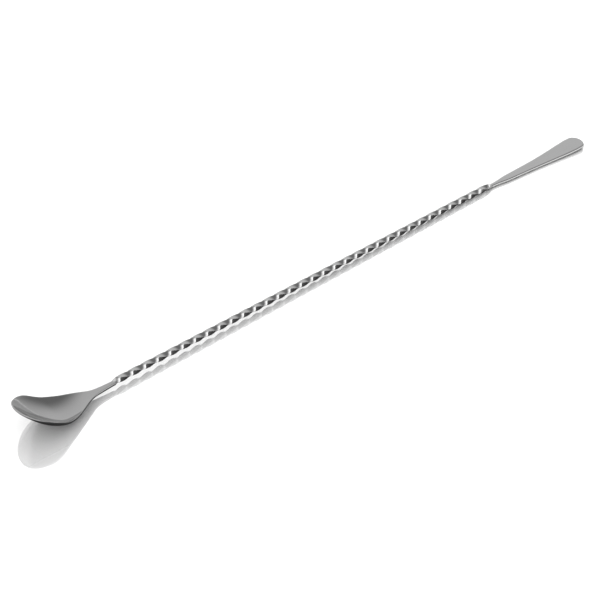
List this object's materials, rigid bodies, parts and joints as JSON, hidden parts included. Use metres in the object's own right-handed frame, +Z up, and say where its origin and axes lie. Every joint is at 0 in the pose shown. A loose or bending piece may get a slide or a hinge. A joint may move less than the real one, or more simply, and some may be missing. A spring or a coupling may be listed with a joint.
{
  "type": "bar spoon",
  "caption": "Long-handled stirring spoon with a twisted square stem, a teardrop bowl and a flat paddle end for layering and muddling.",
  "frame": {"origin": "middle of the bounding box, on the table that the spoon rests on", "axes": "+X along the spoon from the bowl to the paddle, +Y to the left of it, +Z up from the table"},
  "size_m": [0.3996, 0.029, 0.0179],
  "materials": {
    "bowl_steel": "polished stainless steel, neutral grey",
    "stem_steel": "bright polished stainless steel",
    "paddle_steel": "satin stainless steel, finely brushed along its length",
    "weld_steel": "dressed and polished weld metal"
  },
  "bodies": {
    "root": {"bowl": "bowl_steel", "bowl_weld": "weld_steel", "twisted_stem": "stem_steel", "paddle_weld": "weld_steel", "paddle": "paddle_steel"}
  },
  "joints": []
}
